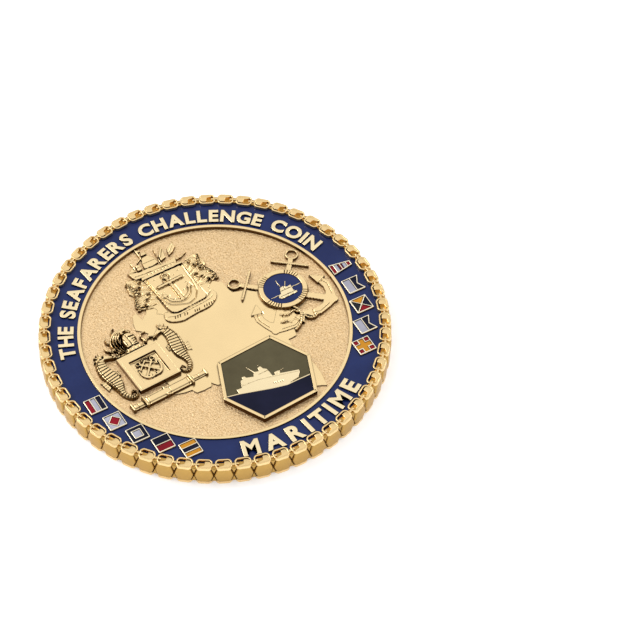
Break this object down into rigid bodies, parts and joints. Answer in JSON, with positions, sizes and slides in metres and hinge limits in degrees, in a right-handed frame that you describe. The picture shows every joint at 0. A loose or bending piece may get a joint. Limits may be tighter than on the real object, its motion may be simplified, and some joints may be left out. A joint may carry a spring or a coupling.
{
  "type": "challenge coin",
  "caption": "Thick two-sided gold commemorative coin with a chain-link edge, enamelled bands, small signal flags and raised naval emblems.",
  "frame": {"origin": "centre of the reverse rim's rest plane", "axes": "+Z is the coin's axis, from the reverse to the obverse, and +Y points to the top of both designs"},
  "size_m": [0.0508, 0.0508, 0.0035],
  "materials": {
    "satin_gold": "gold plated zinc casting, polished on its links, borders and lettering and sandblasted on its field",
    "polished_gold": "bright gold plating over fine relief, with darker hollows",
    "blue_enamel": "royal blue soft enamel, glossy, lying just below the metal lines",
    "navy_enamel": "dark navy soft enamel, glossy",
    "olive_enamel": "translucent olive brown soft enamel over gold",
    "yellow_enamel": "golden yellow soft enamel, glossy",
    "red_enamel": "crimson soft enamel, glossy",
    "white_enamel": "cool white soft enamel, glossy",
    "black_enamel": "black soft enamel, glossy"
  },
  "bodies": {
    "root": {"blue_field_1": "blue_enamel", "blue_field_2": "blue_enamel", "blue_field_3": "blue_enamel", "coin_body": "satin_gold", "cross_flag_red_2": "red_enamel", "cross_flag_red_3": "red_enamel", "cross_flag_red_4": "red_enamel", "cross_flag_red_5": "red_enamel", "cross_flag_yellow_1": "yellow_enamel", "crossed_anchors": "polished_gold", "diamond_flag_red_2": "red_enamel", "diamond_flag_white_1": "white_enamel", "hexagon_plaque": "polished_gold", "left_small_quartered_flag_black_2": "black_enamel", "left_small_quartered_flag_navy_4": "navy_enamel", "left_small_quartered_flag_red_3": "red_enamel", "left_small_quartered_flag_yellow_1": "yellow_enamel", "left_small_red_flag_red_1": "red_enamel", "lifebuoy": "polished_gold", "lifebuoy_enamel": "blue_enamel", "lower_swallowtail_navy_2": "navy_enamel", "lower_swallowtail_white_1": "white_enamel", "obverse_band_enamel": "blue_enamel", "patrol_ship": "polished_gold", "pennant_red_1": "red_enamel", "pennant_red_3": "red_enamel", "pennant_red_5": "red_enamel", "pennant_white_2": "white_enamel", "pennant_white_4": "white_enamel", "plaque_sky_enamel": "olive_enamel", "plaque_water_enamel": "navy_enamel", "quartered_flag_black_3": "black_enamel", "quartered_flag_navy_1": "navy_enamel", "quartered_flag_red_4": "red_enamel", "quartered_flag_yellow_2": "yellow_enamel", "red_field_1": "red_enamel", "red_field_2": "red_enamel", "reverse_band_enamel": "blue_enamel", "right_small_quartered_flag_black_2": "black_enamel", "right_small_quartered_flag_navy_4": "navy_enamel", "right_small_quartered_flag_red_3": "red_enamel", "right_small_quartered_flag_yellow_1": "yellow_enamel", "right_small_red_flag_red_1": "red_enamel", "sea_king_figure": "polished_gold", "seahorse_badge": "polished_gold", "shield_badge": "polished_gold", "square_flag_navy_1": "navy_enamel", "square_flag_white_2": "white_enamel", "three_band_flag_navy_2": "navy_enamel", "three_band_flag_yellow_1": "yellow_enamel", "three_band_flag_yellow_3": "yellow_enamel", "tricolour_flag_navy_3": "navy_enamel", "tricolour_flag_red_1": "red_enamel", "tricolour_flag_white_2": "white_enamel", "trident": "polished_gold", "two_band_flag_navy_2": "navy_enamel", "two_band_flag_red_1": "red_enamel", "upper_swallowtail_navy_2": "navy_enamel", "upper_swallowtail_white_1": "white_enamel", "yellow_field_1": "yellow_enamel"}
  },
  "joints": []
}
